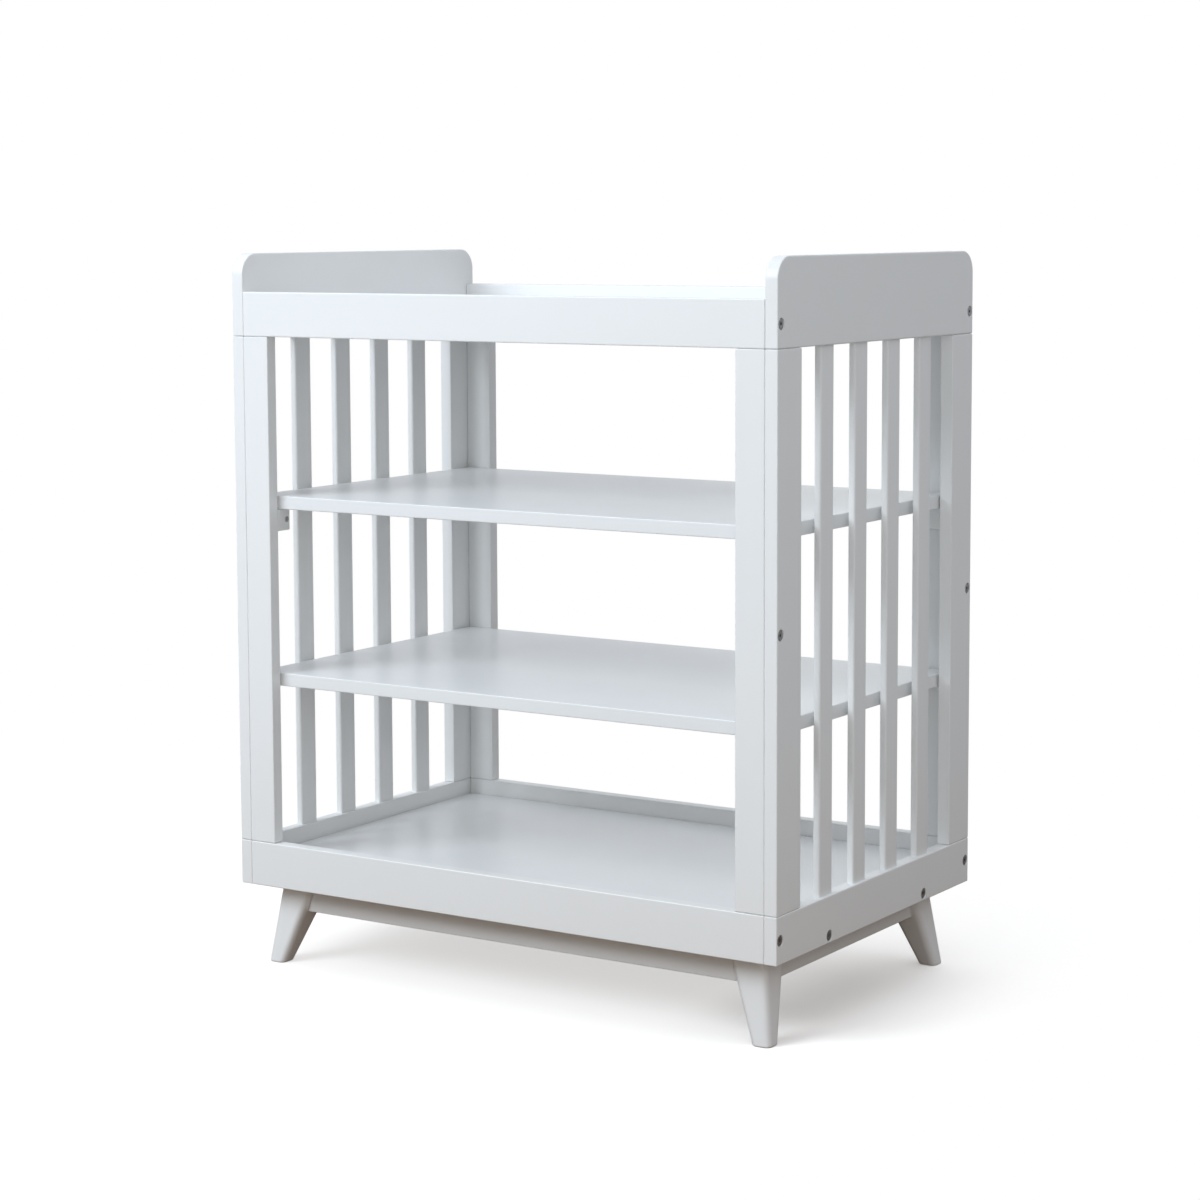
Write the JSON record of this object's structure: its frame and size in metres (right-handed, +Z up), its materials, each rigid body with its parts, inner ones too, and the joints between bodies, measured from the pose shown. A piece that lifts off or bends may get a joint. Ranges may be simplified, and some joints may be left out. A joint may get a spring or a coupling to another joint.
{
  "type": "changing table",
  "caption": "Open changing table with a raised-end changing tray, flat storage shelves, slatted side panels and short splayed legs.",
  "frame": {"origin": "on the floor, under the middle of the table's outline", "axes": "+Z up, -Y towards the front where a person stands, +X towards the right-hand side panel seen from the front"},
  "size_m": [0.846, 0.537, 0.979],
  "materials": {
    "case_paint": "satin white paint on planed wood",
    "slat_paint": "satin white paint, rounded edges",
    "shelf_paint": "smooth semi-gloss white lacquer on board",
    "leg_paint": "satin white paint on turned and planed wood",
    "support_paint": "thin satin white paint",
    "bolt_steel": "dark zinc-plated steel"
  },
  "bodies": {
    "root": {"apron_back": "case_paint", "apron_front": "case_paint", "apron_left": "case_paint", "apron_right": "case_paint", "back_bottom_rail": "case_paint", "back_left_stile": "case_paint", "back_right_stile": "case_paint", "back_top_rail": "case_paint", "base_batten_left": "support_paint", "base_batten_right": "support_paint", "bolt_left_back_base": "bolt_steel", "bolt_left_back_lower": "bolt_steel", "bolt_left_back_middle": "bolt_steel", "bolt_left_back_upper": "bolt_steel", "bolt_left_front_base": "bolt_steel", "bolt_left_front_lower": "bolt_steel", "bolt_left_front_middle": "bolt_steel", "bolt_left_front_upper": "bolt_steel", "bolt_right_back_base": "bolt_steel", "bolt_right_back_lower": "bolt_steel", "bolt_right_back_middle": "bolt_steel", "bolt_right_back_upper": "bolt_steel", "bolt_right_front_base": "bolt_steel", "bolt_right_front_lower": "bolt_steel", "bolt_right_front_middle": "bolt_steel", "bolt_right_front_upper": "bolt_steel", "bottom_shelf": "shelf_paint", "changing_board": "shelf_paint", "corner_block_back_left": "support_paint", "corner_block_back_right": "support_paint", "corner_block_front_left": "support_paint", "corner_block_front_right": "support_paint", "front_bottom_rail": "case_paint", "front_left_stile": "case_paint", "front_right_stile": "case_paint", "front_top_rail": "case_paint", "left_panel_back_post": "case_paint", "left_panel_bottom_rail": "case_paint", "left_panel_front_post": "case_paint", "left_panel_slat_1": "slat_paint", "left_panel_slat_2": "slat_paint", "left_panel_slat_3": "slat_paint", "left_panel_slat_4": "slat_paint", "left_panel_top_rail": "case_paint", "leg_back_left": "leg_paint", "leg_back_right": "leg_paint", "leg_front_left": "leg_paint", "leg_front_right": "leg_paint", "middle_shelf": "shelf_paint", "right_panel_back_post": "case_paint", "right_panel_bottom_rail": "case_paint", "right_panel_front_post": "case_paint", "right_panel_slat_1": "slat_paint", "right_panel_slat_2": "slat_paint", "right_panel_slat_3": "slat_paint", "right_panel_slat_4": "slat_paint", "right_panel_top_rail": "case_paint", "tray_back_cleat": "support_paint", "tray_front_cleat": "support_paint", "upper_shelf": "shelf_paint"}
  },
  "joints": []
}
